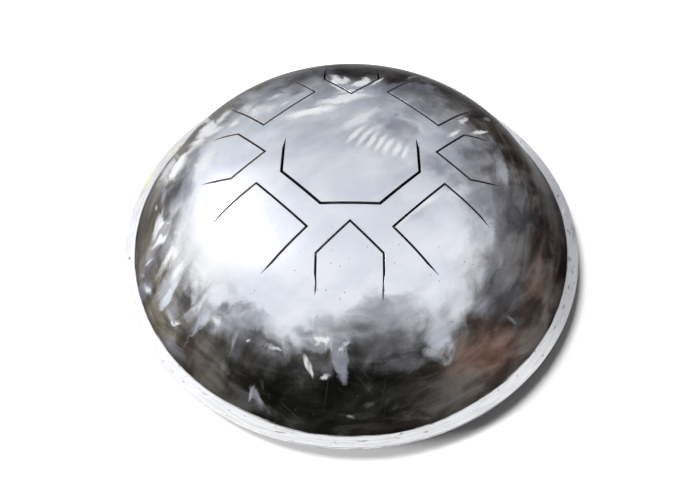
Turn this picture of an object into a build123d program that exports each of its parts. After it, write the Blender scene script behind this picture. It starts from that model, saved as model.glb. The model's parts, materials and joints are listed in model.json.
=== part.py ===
from build123d import *
import os
from math import asin, atan2, cos, degrees, hypot, radians, sin, sqrt, tan

# Steel tongue drum: a pressed dome with nine sawn tongues, welded at its rim to a shallow base pan.
# Millimetres, +Z up, -Y to the player, origin on the floor under the middle of the drum.

# Rim and sheet
RIM_DIAMETER = 356.0
RIM_WIDTH = 8.0
SHEET = 2.0
WELD_DEPTH = 1.2

# Dome, measured on its outside
DOME_HEIGHT = 84.0
CROWN_RADIUS = 392.0
SHOULDER_RADIUS = 105.0
WALL_ANGLE = 53.0
TOE_RADIUS = 3.0

# Centre tongue, an octagon that is left uncut at the back
OCTAGON_RADIUS = 50.0
OCTAGON_ROOT = 11.0
OCTAGON_KERF = 2.0

# House tongues, point inwards
HOUSE_TIP = 59.0
HOUSE_HALF_WIDTH = 21.0
HOUSE_ROOF_ANGLE = 44.0
HOUSE_ROOT = 102.0

# Square tongues, a little wider at the root
SQUARE_TIP = 63.5
SQUARE_TIP_HALF_WIDTH = 25.0
SQUARE_ROOT_HALF_WIDTH = 26.2
SQUARE_ROOT = 103.5
NOTE_KERF = 1.5

# Tongue roots, where each tongue bends
ROOT_MARGIN = 0.6
ROOT_CLEARANCE = 0.05

# Base pan
PAN_DEPTH = 6.0
PAN_RIM_WIDTH = 16.0
PAN_WALL_RUN = 10.0
PAN_BEND = 4.0
PORT_DIAMETER = 80.0
PORT_EDGE = 0.6

# Feet
FOOT_HEIGHT = 8.0
FOOT_TOP_DIAMETER = 26.0
FOOT_BOTTOM_DIAMETER = 22.0
FOOT_EDGE = 1.0
FOOT_INSET = 22.0
FOOT_WEB = 3.6

# Fasteners of the feet, M4
SCREW_DIAMETER = 4.0
SCREW_HEAD_DIAMETER = 8.0
SCREW_HEAD_HEIGHT = 2.4
SCREW_TAIL = 1.2
SCREW_POINT = 0.6
CROSS_SPAN = 4.4
CROSS_WIDTH = 1.0
CROSS_DEPTH = 1.4
WASHER_DIAMETER = 9.0
WASHER_THICKNESS = 0.8
NUT_ACROSS_FLATS = 7.0
NUT_HEIGHT = 3.2
NUT_CHAMFER_ANGLE = 30.0
THREAD_CLEARANCE = 0.05
HOLE_CLEARANCE = 0.25
RECESS_CLEARANCE = 0.75

# Heights above the floor
PAN_UNDERSIDE = FOOT_HEIGHT
SEAM_Z = PAN_UNDERSIDE + SHEET + PAN_DEPTH
RIM_TOP = SEAM_Z + SHEET
APEX_Z = RIM_TOP + DOME_HEIGHT

# Distances from the axis
RIM_RADIUS = RIM_DIAMETER / 2
TOE_CORNER = RIM_RADIUS - RIM_WIDTH
PAN_WALL_TOP = RIM_RADIUS - PAN_RIM_WIDTH
PAN_FLOOR_RADIUS = PAN_WALL_TOP - PAN_WALL_RUN
FOOT_CIRCLE_RADIUS = PAN_FLOOR_RADIUS - FOOT_INSET

# Centres of the dome's arcs: the shoulder touches the crown arc and the straight wall
WALL = radians(WALL_ANGLE)
CROWN_Z = APEX_Z - CROWN_RADIUS
WALL_NORMAL = (sin(WALL), cos(WALL))
WALL_REACH = TOE_CORNER * WALL_NORMAL[0] + (RIM_TOP - CROWN_Z) * WALL_NORMAL[1] - SHOULDER_RADIUS
SHOULDER_TURN = asin(WALL_REACH / (CROWN_RADIUS - SHOULDER_RADIUS))
SHOULDER_START = WALL - radians(90) + SHOULDER_TURN
SHOULDER_X = (CROWN_RADIUS - SHOULDER_RADIUS) * sin(SHOULDER_START)
SHOULDER_Z = CROWN_Z + (CROWN_RADIUS - SHOULDER_RADIUS) * cos(SHOULDER_START)

# The way each tongue's root faces, in degrees from +X
HOUSE_ANGLES = {"right": 0, "back": 90, "left": 180, "front": 270}
SQUARE_ANGLES = {"back_right": 45, "back_left": 135, "front_left": 225, "front_right": 315}
CENTER_ANGLE = 90


def dome_line(inset):
    """Line of the dome and its rim, set in from the outside, from the axis to the rim's edge."""
    start = degrees(SHOULDER_START)
    crown = CenterArc((0, CROWN_Z), CROWN_RADIUS - inset, 90, -start)
    middle = (SHOULDER_X, SHOULDER_Z)
    radius = SHOULDER_RADIUS - inset
    shoulder = CenterArc(middle, radius, 90 - start, start - WALL_ANGLE)
    wall_top = (SHOULDER_X + radius * WALL_NORMAL[0], SHOULDER_Z + radius * WALL_NORMAL[1])
    corner = (TOE_CORNER - inset * tan(WALL / 2), RIM_TOP - inset)
    edge = (RIM_RADIUS, RIM_TOP - inset)
    wall = FilletPolyline(wall_top, corner, edge, radius=TOE_RADIUS + inset)
    return crown + shoulder + wall


def dome_height(distance, inset):
    """Height of the crown, shoulder or wall at a distance from the axis."""
    if distance <= (CROWN_RADIUS - inset) * sin(SHOULDER_START):
        return CROWN_Z + sqrt((CROWN_RADIUS - inset) ** 2 - distance**2)
    radius = SHOULDER_RADIUS - inset
    if distance <= SHOULDER_X + radius * sin(WALL):
        return SHOULDER_Z + sqrt(radius**2 - (distance - SHOULDER_X) ** 2)
    return RIM_TOP + (TOE_CORNER - distance) * tan(WALL) - inset / cos(WALL)


def turned(profile):
    """Turn a profile drawn in radius and height about the drum's axis."""
    return revolve(Plane.XZ * profile, Axis.Z)


def closed_profile(outer, inner):
    """Sheet between two lines, closed at both ends."""
    first = Line(outer @ 0, inner @ 0)
    last = Line(outer @ 1, inner @ 1)
    return make_face(outer.edges() + last.edges() + inner.edges() + first.edges())


def rounded_profile(*corners):
    """Closed profile from corners given as radius from the axis, height and rounding."""
    points = [(distance, height) for distance, height, rounding in corners]
    return make_face(FilletPolyline(*points, radius=[corner[2] for corner in corners], close=True))


def make_weld():
    """Ring of weld metal in the groove between the two rims, ground flush."""
    root = (RIM_RADIUS - WELD_DEPTH, SEAM_Z, 0)
    top = (RIM_RADIUS, SEAM_Z + WELD_DEPTH, 0)
    bottom = (RIM_RADIUS, SEAM_Z - WELD_DEPTH, 0)
    return turned(rounded_profile(root, top, bottom))


def house_outline(root):
    """Half the cut of a house tongue, from its point to its root."""
    shoulder = HOUSE_TIP + HOUSE_HALF_WIDTH / tan(radians(HOUSE_ROOF_ANGLE))
    return [(HOUSE_TIP, 0), (shoulder, HOUSE_HALF_WIDTH), (root, HOUSE_HALF_WIDTH)]


def square_outline(root):
    """Half the cut of a square tongue, from its tip to its root."""
    spread = (SQUARE_ROOT_HALF_WIDTH - SQUARE_TIP_HALF_WIDTH) / (SQUARE_ROOT - SQUARE_TIP)
    end = SQUARE_TIP_HALF_WIDTH + spread * (root - SQUARE_TIP)
    return [(SQUARE_TIP, SQUARE_TIP_HALF_WIDTH), (root, end)]


def octagon_outline(root):
    """Half the cut of the centre tongue, from its front side to its root."""
    side = OCTAGON_RADIUS * cos(radians(22.5))
    half = OCTAGON_RADIUS * sin(radians(22.5))
    return [(-side, half), (-half, side), (root, side)]


def root_bend(outline, root):
    """Height of the bending line of a tongue, and the radius of its rounded root."""
    half_width = outline(root)[-1][1]
    near = dome_height(root, SHEET / 2)
    far = dome_height(hypot(root, half_width), SHEET / 2)
    return (near + far) / 2, (SHEET + near - far) / 2 + ROOT_MARGIN


def tongue_region(outline, root, offset_by, clearance):
    """Upright block that holds one tongue, rounded about the bending line at its root."""
    bend_z, bend_radius = root_bend(outline, root)
    half = outline(root + 4 * bend_radius)
    points = half + [(u, -v) for u, v in reversed(half) if v > 0]
    plan = offset(make_face(Polyline(*points, close=True)), offset_by, kind=Kind.INTERSECTION)
    block = extrude(plan, APEX_Z + SHEET)
    front = split(block, Plane((root, 0, 0), z_dir=(1, 0, 0)), keep=Keep.BOTTOM)
    bend = Pos(root, 0, bend_z) * Rot(90, 0, 0) * Cylinder(bend_radius + clearance, RIM_DIAMETER)
    return front + (block & bend)


def make_tongue(dome, outline, root, kerf):
    """One tongue cut from the dome, its root facing +X."""
    return dome & tongue_region(outline, root, -kerf / 2, 0)


def make_cut(outline, root, kerf):
    """What is taken out of the dome for one tongue, its root facing +X."""
    return tongue_region(outline, root, kerf / 2, ROOT_CLEARANCE)


def make_pan():
    """Base pan: rim, short sloping wall and flat floor with the sound port."""
    floor_top = PAN_UNDERSIDE + SHEET
    port = PORT_DIAMETER / 2
    shift = SHEET * tan(atan2(PAN_DEPTH, PAN_WALL_RUN) / 2)
    profile = rounded_profile(
        (port, floor_top, PORT_EDGE),
        (PAN_FLOOR_RADIUS, floor_top, PAN_BEND),
        (PAN_WALL_TOP, SEAM_Z, PAN_BEND + SHEET),
        (RIM_RADIUS, SEAM_Z, 0),
        (RIM_RADIUS, SEAM_Z - SHEET, 0),
        (PAN_WALL_TOP + shift, SEAM_Z - SHEET, PAN_BEND),
        (PAN_FLOOR_RADIUS + shift, PAN_UNDERSIDE, PAN_BEND + SHEET),
        (port, PAN_UNDERSIDE, PORT_EDGE),
    )
    hole = Cylinder(SCREW_DIAMETER / 2 + HOLE_CLEARANCE, 4 * SHEET)
    return turned(profile) - [place * hole for place in foot_places(PAN_UNDERSIDE)]


def foot_places(height):
    """Places of the four feet at a height, in the order of the square tongues."""
    return [Rot(0, 0, angle) * Pos(FOOT_CIRCLE_RADIUS, 0, height) for angle in SQUARE_ANGLES.values()]


def make_foot():
    """Rubber foot, tapered, with a recess from below for the screw's head."""
    recess = WASHER_DIAMETER / 2 + RECESS_CLEARANCE
    hole = SCREW_DIAMETER / 2 + HOLE_CLEARANCE
    web_z = FOOT_HEIGHT - FOOT_WEB
    profile = rounded_profile(
        (recess, 0, 0),
        (FOOT_BOTTOM_DIAMETER / 2, 0, FOOT_EDGE),
        (FOOT_TOP_DIAMETER / 2, FOOT_HEIGHT, 0),
        (hole, FOOT_HEIGHT, 0),
        (hole, web_z, 0),
        (recess, web_z, 0),
    )
    return turned(profile)


def make_screw():
    """Pan-head screw with a cross recess, head down, from under the washer to just past the nut."""
    seat = FOOT_HEIGHT - FOOT_WEB - WASHER_THICKNESS
    tip = PAN_UNDERSIDE + SHEET + NUT_HEIGHT + SCREW_TAIL
    shank = SCREW_DIAMETER / 2
    head = SCREW_HEAD_DIAMETER / 2
    low = seat - SCREW_HEAD_HEIGHT
    profile = rounded_profile(
        (0, low, 0),
        (head, low, SCREW_HEAD_HEIGHT / 2),
        (head, seat, 0),
        (shank, seat, 0),
        (shank, tip - SCREW_POINT, 0),
        (shank - SCREW_POINT, tip, 0),
        (0, tip, 0),
    )
    bar = Pos(0, 0, low) * Box(CROSS_SPAN, CROSS_WIDTH, 2 * CROSS_DEPTH)
    return turned(profile) - [bar, Rot(0, 0, 90) * bar]


def make_washer():
    """Flat washer between the foot's web and the screw's head."""
    top = FOOT_HEIGHT - FOOT_WEB
    ring = Circle(WASHER_DIAMETER / 2) - Circle(SCREW_DIAMETER / 2 + HOLE_CLEARANCE)
    return Pos(0, 0, top - WASHER_THICKNESS) * extrude(ring, WASHER_THICKNESS)


def make_nut():
    """Hexagon nut on the pan's floor, its corners turned off at both ends."""
    low = PAN_UNDERSIDE + SHEET
    high = low + NUT_HEIGHT
    flat = NUT_ACROSS_FLATS / 2
    corner = flat / cos(radians(30))
    drop = (corner - flat) * tan(radians(NUT_CHAMFER_ANGLE))
    bore = SCREW_DIAMETER / 2 + THREAD_CLEARANCE
    profile = rounded_profile(
        (bore, low, 0),
        (flat, low, 0),
        (corner, low + drop, 0),
        (corner, high - drop, 0),
        (flat, high, 0),
        (bore, high, 0),
    )
    hexagon = RegularPolygon(flat, 6, major_radius=False)
    return turned(profile) & Pos(0, 0, low) * extrude(hexagon, NUT_HEIGHT)


def main():
    os.makedirs("parts", exist_ok=True)
    weld = make_weld()
    dome = turned(closed_profile(dome_line(0), dome_line(SHEET)))

    # Playing surface
    house_cut = make_cut(house_outline, HOUSE_ROOT, NOTE_KERF)
    square_cut = make_cut(square_outline, SQUARE_ROOT, NOTE_KERF)
    octagon_cut = make_cut(octagon_outline, OCTAGON_ROOT, OCTAGON_KERF)
    cuts = [Rot(0, 0, angle) * house_cut for angle in HOUSE_ANGLES.values()]
    cuts += [Rot(0, 0, angle) * square_cut for angle in SQUARE_ANGLES.values()]
    cuts += [Rot(0, 0, CENTER_ANGLE) * octagon_cut]
    export_step(dome - cuts - weld, "parts/top_shell.step")
    house = make_tongue(dome, house_outline, HOUSE_ROOT, NOTE_KERF)
    for name, angle in HOUSE_ANGLES.items():
        export_step(Rot(0, 0, angle) * house, f"parts/tongue_{name}.step")
    square = make_tongue(dome, square_outline, SQUARE_ROOT, NOTE_KERF)
    for name, angle in SQUARE_ANGLES.items():
        export_step(Rot(0, 0, angle) * square, f"parts/tongue_{name}.step")
    center = make_tongue(dome, octagon_outline, OCTAGON_ROOT, OCTAGON_KERF)
    export_step(Rot(0, 0, CENTER_ANGLE) * center, "parts/tongue_center.step")

    # Underside
    export_step(weld, "parts/rim_weld.step")
    export_step(make_pan() - weld, "parts/base_pan.step")
    places = foot_places(0)
    foot = make_foot()
    for name, place in zip(SQUARE_ANGLES, places):
        export_step(place * foot, f"parts/foot_{name}.step")
    fasteners = {"screws": make_screw(), "washers": make_washer(), "nuts": make_nut()}
    for name, solid in fasteners.items():
        export_step(Compound(children=[place * solid for place in places]), f"parts/foot_{name}.step")


if __name__ == "__main__":
    main()
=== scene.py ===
import json
from collections import namedtuple
from math import asin, cos, hypot, pi, radians, sin, tan

import bmesh
import bpy
from bpy.props import FloatProperty, FloatVectorProperty, IntProperty, PointerProperty
from mathutils import Matrix, Vector


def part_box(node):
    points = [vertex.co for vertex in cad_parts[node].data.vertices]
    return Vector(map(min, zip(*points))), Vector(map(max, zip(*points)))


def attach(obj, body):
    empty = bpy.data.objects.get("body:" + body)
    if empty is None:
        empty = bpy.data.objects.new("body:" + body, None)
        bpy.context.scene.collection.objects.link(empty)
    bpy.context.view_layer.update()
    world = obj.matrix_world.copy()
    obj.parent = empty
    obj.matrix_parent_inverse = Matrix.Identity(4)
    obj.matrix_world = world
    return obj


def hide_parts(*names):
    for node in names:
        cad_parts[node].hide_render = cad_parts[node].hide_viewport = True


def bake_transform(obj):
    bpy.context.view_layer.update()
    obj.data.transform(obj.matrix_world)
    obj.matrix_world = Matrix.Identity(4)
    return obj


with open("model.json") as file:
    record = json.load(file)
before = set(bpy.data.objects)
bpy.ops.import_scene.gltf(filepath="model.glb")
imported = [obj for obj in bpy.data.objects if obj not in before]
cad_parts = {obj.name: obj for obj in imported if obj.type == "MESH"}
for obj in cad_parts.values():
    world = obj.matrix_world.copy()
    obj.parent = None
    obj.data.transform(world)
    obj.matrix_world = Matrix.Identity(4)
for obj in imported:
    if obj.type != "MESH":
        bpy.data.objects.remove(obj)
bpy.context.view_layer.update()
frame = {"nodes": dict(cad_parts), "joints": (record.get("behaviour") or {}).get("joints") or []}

bl_info = {
    "name": "Steel tongue drum",
    "version": (1, 0, 0),
    "blender": (4, 5, 0),
    "location": "View3D > Sidebar > Drum",
    "description": "Builds the sheet of a steel tongue drum over its packed solids and gives every piece its finish",
    "category": "Object",
}

SHELL_LOW, SHELL_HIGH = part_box("top_shell")
CROWN_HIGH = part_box("tongue_center")[1]
WELD_LOW, WELD_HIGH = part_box("rim_weld")
SKIN, SAWN, INSIDE, FILED = 0, 1, 2, 3

SNAP = 2e-5  # a cut this near a vertex goes through it
TOUCH = 1e-5  # places this near count as one
MERGE = 1e-6
CROWN_STEPS, SHOULDER_STEPS, TOE_STEPS = 36, 34, 6
NEAR_CUT, ROUND_TONGUE = 0.004, 0.006  # how far round a hole or a tongue the faces are sliced
CUT_END = 0.0002  # width that a cut keeps at its end
CUT_REACH, ROOT_CLEAR = 2e-4, 1e-4  # a filed edge lies this near a cut and this clear of the root
FILE_DEPTH, FILE_FADE = 0.7, 0.004  # its depth against its width, and the length over which it fades at the root

HOUSES = ("front", "right", "back", "left")
SQUARES = ("front_right", "back_right", "back_left", "front_left")

Arcs = namedtuple("Arcs", "crown_z start shoulder_x shoulder_z wall rim_top corner toe_x crown_end wall_top wall_end")
Line = namedtuple("Line", "point normal")
Root = namedtuple("Root", "distance along across")


def length(name, description, default, precision=4):
    """A length that a user may change."""
    return FloatProperty(name=name, description=description, default=default, unit="LENGTH", precision=precision)


def shade(name, description, default):
    """A colour that a user may change."""
    return FloatVectorProperty(name=name, description=description, default=default, size=3, subtype="COLOR",
                               min=0, max=1)


class DrumSizes(bpy.types.PropertyGroup):
    """Sizes of the sheet, the dome and the saw cuts."""

    rim_radius: length("Rim radius", "From the axis to the rim's edge", SHELL_HIGH.x)
    apex: length("Crown height", "Top of the crown above the floor", CROWN_HIGH.z)
    sheet: length("Sheet", "Thickness of the steel sheet", 0.002)
    rim_width: length("Rim width", "Flat rim outside the wall", 0.008)
    rim_round: length("Rim edge", "Rounding of the rim's upper edge", 0.0004, 5)
    crown_radius: length("Crown radius", "Radius of the crown's arc", 0.392)
    shoulder_radius: length("Shoulder radius", "Radius of the shoulder's arc", 0.105)
    wall_angle: FloatProperty(name="Wall angle", description="Slope of the wall", default=radians(53), subtype="ANGLE")
    toe_radius: length("Toe radius", "Bend between the wall and the rim", 0.003)
    kerf: length("Saw cut", "Width of the cuts round the outer tongues", 0.0015, 5)
    center_kerf: length("Centre saw cut", "Width of the cut round the centre tongue", 0.002, 5)
    run_out: length("Run-out", "Length over which a cut narrows to its end", 0.009)
    root_gap: length("Root gap", "Hairline between a tongue and the sheet at its root", 0.000012, 6)
    bend: length("Bend", "Length of the root over which a tongue bends", 0.008)
    edge_break: length("Edge break", "Width of the filed edge along the cuts", 0.00018, 5)
    house_tip: length("House tip", "Point of a house tongue from the axis", 0.059)
    house_half: length("House half width", "Half the width of a house tongue", 0.021)
    house_roof: FloatProperty(name="House roof", description="Slope of a house tongue's point",
                              default=radians(44), subtype="ANGLE")
    square_tip: length("Square tip", "Tip of a square tongue from the axis", 0.0635)
    square_tip_half: length("Square tip half width", "Half the width at the tip", 0.025)
    square_root_half: length("Square root half width", "Half the width at the root", 0.0262)
    octagon: length("Octagon", "Corner of the centre tongue from the axis", 0.05)
    steps: IntProperty(name="Steps", description="Steps of the turned sheet", default=240, min=48)


class DrumFinish(bpy.types.PropertyGroup):
    """Colours of the drum's metals and rubber, among them the painted highlights, shade and reflections of the polished
    sheet.
    """

    # painted light: bright and silver are the crown painted lighter towards the light and darker away from it; white
    # serves as painted highlight and reflection as well as smears
    bright: shade("Bright", "Polished crown towards the light", (0.75, 0.775, 0.845))
    silver: shade("Silver", "Polished crown away from the light", (0.46, 0.485, 0.545))
    white: shade("White", "Wiped smears and bare spots", (0.86, 0.87, 0.89))
    # pewter and lead are greys that paint shade on the crown and wall, and are the own grey of other pieces
    pewter: shade("Pewter", "Half-polished grey", (0.29, 0.3, 0.34))
    lead: shade("Lead", "Dull grey", (0.13, 0.13, 0.142))
    # painted reflection: slate, taupe, umber and charcoal paint the wall dark as a reflection of dark surroundings, not
    # burnish
    slate: shade("Slate", "Burnished back of the wall", (0.058, 0.054, 0.05))
    taupe: shade("Taupe", "Burnished left of the wall", (0.14, 0.126, 0.105))
    umber: shade("Umber", "Burnished right of the wall", (0.06, 0.05, 0.044))
    charcoal: shade("Charcoal", "Burnished front of the wall", (0.015, 0.0145, 0.012))
    # rust is the brown of the rim's rust flecks and of brown patches in the wall's painted reflection
    rust: shade("Rust", "Brown heat stain", (0.150, 0.092, 0.075))
    ground: shade("Ground rim", "Ground steel of the rim", (0.72, 0.73, 0.77))
    cream: shade("Cream", "Yellowed spots on the rim", (0.78, 0.74, 0.52))
    sawn: shade("Sawn edge", "Lit walls of the saw cuts", (0.66, 0.54, 0.44))
    rolled: shade("Rolled sheet", "Plain sheet of the base pan", (0.32, 0.32, 0.33))
    rubber: shade("Rubber", "Rubber of the feet", (0.018, 0.018, 0.019))
    zinc: shade("Zinc", "Plating of screws, washers and nuts", (0.56, 0.57, 0.60))


class DrumStage(bpy.types.PropertyGroup):
    """Camera, lamps and floor."""

    lens: FloatProperty(name="Lens", description="Focal length on a 36 mm sensor", default=29.674)
    eye: FloatVectorProperty(name="Eye", description="Place of the camera", size=3, subtype="TRANSLATION",
                             default=(0.00253, -0.27740, 0.38880))
    aim: FloatVectorProperty(name="Aim", description="Point the camera looks at", size=3, subtype="TRANSLATION",
                             default=(-0.00020, -0.05001, 0.05360))
    roll: FloatProperty(name="Roll", description="Turn of the camera about its view", default=-0.0045, subtype="ANGLE")
    floor: shade("Floor", "Colour of the floor", (0.95, 0.95, 0.95))
    sky: FloatProperty(name="Soft light", description="Strength of the light from all round", default=0.12)
    key: FloatProperty(name="Key lamp", description="Power of the key lamp in watts", default=63.0)
    fill: FloatProperty(name="Fill lamp", description="Power of the low lamp on the left in watts", default=60.0)
    gleam: FloatProperty(name="Gleam lamp", description="Power in watts of the lamp that shows in the metal",
                         default=12.0)


def dome_arcs(sizes):
    """Where the arcs of the dome's outside begin and end."""
    wall = sizes.wall_angle
    rim_top = SHELL_LOW.z + sizes.sheet
    corner = sizes.rim_radius - sizes.rim_width
    crown_z = sizes.apex - sizes.crown_radius
    reach = corner * sin(wall) + (rim_top - crown_z) * cos(wall) - sizes.shoulder_radius
    across = sizes.crown_radius - sizes.shoulder_radius
    start = wall - pi / 2 + asin(reach / across)
    shoulder_x, shoulder_z = across * sin(start), crown_z + across * cos(start)
    bend = sizes.toe_radius * tan(wall / 2)
    return Arcs(crown_z, start, shoulder_x, shoulder_z, wall, rim_top, corner, corner + bend,
                sizes.crown_radius * sin(start), shoulder_x + sizes.shoulder_radius * sin(wall),
                corner - bend * cos(wall))


def skin_at(sizes, arcs, distance):
    """Height of the dome's outside at a distance from the axis, and the tilt of its normal."""
    if distance <= arcs.crown_end:
        tilt = asin(distance / sizes.crown_radius)
        return arcs.crown_z + sizes.crown_radius * cos(tilt), tilt
    if distance <= arcs.wall_top:
        tilt = asin((distance - arcs.shoulder_x) / sizes.shoulder_radius)
        return arcs.shoulder_z + sizes.shoulder_radius * cos(tilt), tilt
    if distance <= arcs.wall_end:
        return arcs.rim_top + (arcs.corner - distance) * tan(arcs.wall), arcs.wall
    if distance < arcs.toe_x:
        tilt = asin((arcs.toe_x - distance) / sizes.toe_radius)
        return arcs.rim_top + sizes.toe_radius * (1 - cos(tilt)), tilt
    return arcs.rim_top, 0.0


def arc_on(bm, vert, center, turn, steps):
    """Carries a profile on along an arc."""
    made = bmesh.ops.spin(bm, geom=[vert], cent=(center[0], 0, center[1]), axis=(0, 1, 0), angle=turn, steps=steps)
    return made["geom_last"][0]


def line_on(bm, vert, distance, height):
    """Carries a profile on along a straight line."""
    made = bmesh.ops.extrude_vert_indiv(bm, verts=[vert])
    made["verts"][0].co = (distance, 0, height)
    return made["verts"][0]


def turned(bm, steps):
    """Turns the profile about the drum's axis and closes its pole."""
    geom = bm.verts[:] + bm.edges[:]
    bmesh.ops.spin(bm, geom=geom, cent=(0, 0, 0), axis=(0, 0, 1), angle=2 * pi, steps=steps, use_merge=True)
    bmesh.ops.remove_doubles(bm, verts=bm.verts[:], dist=MERGE)
    bmesh.ops.recalc_face_normals(bm, faces=bm.faces[:])


def dome_skin(sizes, arcs):
    """Outside of the dome as one sheet without thickness, turned once and kept."""
    bm = bmesh.new()
    blank = bpy.data.meshes.get("dome_blank")
    if blank:
        bm.from_mesh(blank)
        return bm
    tip = bm.verts.new((0, 0, sizes.apex))
    tip = arc_on(bm, tip, (0, arcs.crown_z), arcs.start, CROWN_STEPS)
    tip = arc_on(bm, tip, (arcs.shoulder_x, arcs.shoulder_z), arcs.wall - arcs.start, SHOULDER_STEPS)
    for share in (0.5, 1.0):
        distance = arcs.wall_top + share * (arcs.wall_end - arcs.wall_top)
        tip = line_on(bm, tip, distance, skin_at(sizes, arcs, distance)[0])
    tip = arc_on(bm, tip, (arcs.toe_x, arcs.rim_top + sizes.toe_radius), -arcs.wall, TOE_STEPS)
    line_on(bm, tip, sizes.rim_radius, arcs.rim_top)
    turned(bm, sizes.steps)
    bm.to_mesh(bpy.data.meshes.new("dome_blank"))
    return bm


def roots():
    """Root of every tongue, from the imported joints."""
    found = {}
    for joint in frame["joints"]:
        x, y, _ = joint["pos_m"]
        along = Vector((x, y, 0)).normalized()
        found[joint["child"].removesuffix("_tongue")] = Root(hypot(x, y), along, Vector((-along.y, along.x, 0)))
    return found


def half_outline(sizes, name, root):
    """Half the saw cut of a tongue as distances along and across it, from tip to root."""
    if name == "center":
        side, half = sizes.octagon * cos(pi / 8), sizes.octagon * sin(pi / 8)
        return [(-side, half), (-half, side), (root, side)]
    if name in HOUSES:
        shoulder = sizes.house_tip + sizes.house_half / tan(sizes.house_roof)
        return [(sizes.house_tip, 0), (shoulder, sizes.house_half), (root, sizes.house_half)]
    return [(sizes.square_tip, sizes.square_tip_half), (root, sizes.square_root_half)]


def kerf_of(sizes, name):
    """Width of the saw cut round a tongue."""
    return sizes.center_kerf if name == "center" else sizes.kerf


def side_line(root, start, end, shift):
    """Upright cutting plane through two points of an outline, moved outwards."""
    first = root.along * start[0] + root.across * start[1]
    last = root.along * end[0] + root.across * end[1]
    run = (last - first).normalized()
    outward = Vector((run.y, -run.x, 0))
    return Line(first + outward * shift, outward)


def cut_lines(sizes, name, root, shift, taper=False):
    """Cutting planes along the saw cut, counter-clockwise, moved outwards by shift."""
    half = half_outline(sizes, name, root.distance)
    lower = [(u, -v) for u, v in half]
    upper = list(reversed(half))
    lines = []
    for side in (lower, upper):
        lines += [side_line(root, a, b, shift) for a, b in zip(side, side[1:])]
    if half[0][1] > 0:
        lines.append(side_line(root, half[0], lower[0], shift))
    if taper:
        (u0, v0), (u1, v1) = half[-2], half[-1]
        kerf = kerf_of(sizes, name)
        slope = (v1 - v0) / (u1 - u0)
        wide = (u1 - sizes.run_out, v1 - slope * sizes.run_out + kerf / 2)
        narrow = (u1, v1 - kerf / 2 + CUT_END)
        extra = shift - kerf / 2
        lines.append(side_line(root, (wide[0], -wide[1]), (narrow[0], -narrow[1]), extra))
        lines.append(side_line(root, narrow, wide, extra))
    return lines


def root_line(root, gap=0.0):
    """Cutting plane across a tongue's root."""
    return Line(root.along * (root.distance - gap), root.along)


def outside(line, place):
    """How far a place lies outside a cutting plane."""
    return (place.x - line.point.x) * line.normal.x + (place.y - line.point.y) * line.normal.y


def within(lines, place, reach=0.0):
    """Whether a place lies inside all the cutting planes, give or take a reach."""
    return all(outside(line, place) < reach for line in lines)


def parts_of(faces):
    """Faces with their edges and vertices."""
    edges = {edge for face in faces for edge in face.edges}
    verts = {vert for face in faces for vert in face.verts}
    return list(faces) + list(edges) + list(verts)


def slice_along(bm, geom, lines):
    """Cuts faces along planes and keeps both sides."""
    for line in lines:
        made = bmesh.ops.bisect_plane(bm, geom=geom, dist=SNAP, plane_co=line.point, plane_no=line.normal)
        geom = made["geom"]
    return geom


def drape(bm, sizes, arcs):
    """Lays every vertex on the true dome, keeps the tilt of the sheet there and marks none as filed."""
    tilt = bm.verts.layers.float.new("tilt")
    for vert in bm.verts:
        vert.co.z, vert[tilt] = skin_at(sizes, arcs, hypot(vert.co.x, vert.co.y))
        vert.tag = False


def break_edges(bm, sizes, root, lines):
    """Files the sharp upper edge along a saw cut and marks it."""
    for edge in bm.edges:
        if not edge.is_boundary:
            continue
        for vert in edge.verts:
            if not within(lines, vert.co, CUT_REACH):
                continue
            left = root.distance - vert.co.dot(root.along)
            if left < ROOT_CLEAR or vert.tag:
                continue
            vert.tag = True
            vert.co.z -= FILE_DEPTH * sizes.edge_break * min(1.0, left / FILE_FADE)
            for face in vert.link_faces:
                face.material_index = FILED


def thicken(bm, sizes, arcs):
    """Gives the sheet its thickness, inwards along its normal."""
    top = bm.faces[:]
    made = bmesh.ops.extrude_face_region(bm, geom=top, use_keep_orig=True)
    for part in made["geom"]:
        if isinstance(part, bmesh.types.BMFace):
            part.material_index = INSIDE
        elif isinstance(part, bmesh.types.BMVert):
            distance = hypot(part.co.x, part.co.y)
            height, lean = skin_at(sizes, arcs, distance)
            share = 1 - sizes.sheet * sin(lean) / distance if distance > MERGE else 1.0
            part.co = (part.co.x * share, part.co.y * share, height - sizes.sheet * cos(lean))
    known = set(top) | {part for part in made["geom"] if isinstance(part, bmesh.types.BMFace)}
    for face in bm.faces:
        if face not in known:
            face.material_index = SAWN
    bmesh.ops.reverse_faces(bm, faces=bm.faces[:])


def linked(name, data):
    """New object in the scene."""
    made = bpy.data.objects.new(name, data)
    bpy.context.scene.collection.objects.link(made)
    return made


def finish_sheet(bm, name):
    """Makes the object and gives it the smooth normals of the true dome."""
    mesh = bpy.data.meshes.new(name)
    bm.normal_update()
    bm.to_mesh(mesh)
    bm.free()
    tilts = mesh.attributes["tilt"].data
    normals = [Vector((0, 0, 0))] * len(mesh.loops)
    for face in mesh.polygons:
        kind = face.material_index
        face.use_smooth = kind in (SKIN, INSIDE)
        if kind == FILED:
            face.material_index = SKIN
        if not face.use_smooth:
            continue
        for loop in face.loop_indices:
            index = mesh.loops[loop].vertex_index
            place, tilt = mesh.vertices[index].co, tilts[index].value
            flat = Vector((place.x, place.y, 0))
            normal = flat.normalized() * sin(tilt) + Vector((0, 0, cos(tilt)))
            normals[loop] = normal if kind == SKIN else -normal
    mesh.normals_split_custom_set(normals)
    mesh.attributes.remove(mesh.attributes["tilt"])
    return linked(name, mesh)


def rim_edges(bm, radius, height):
    """Edges round the rim at a height."""
    return [edge for edge in bm.edges if all(
        abs(hypot(v.co.x, v.co.y) - radius) < TOUCH and abs(v.co.z - height) < TOUCH for v in edge.verts)]


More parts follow.
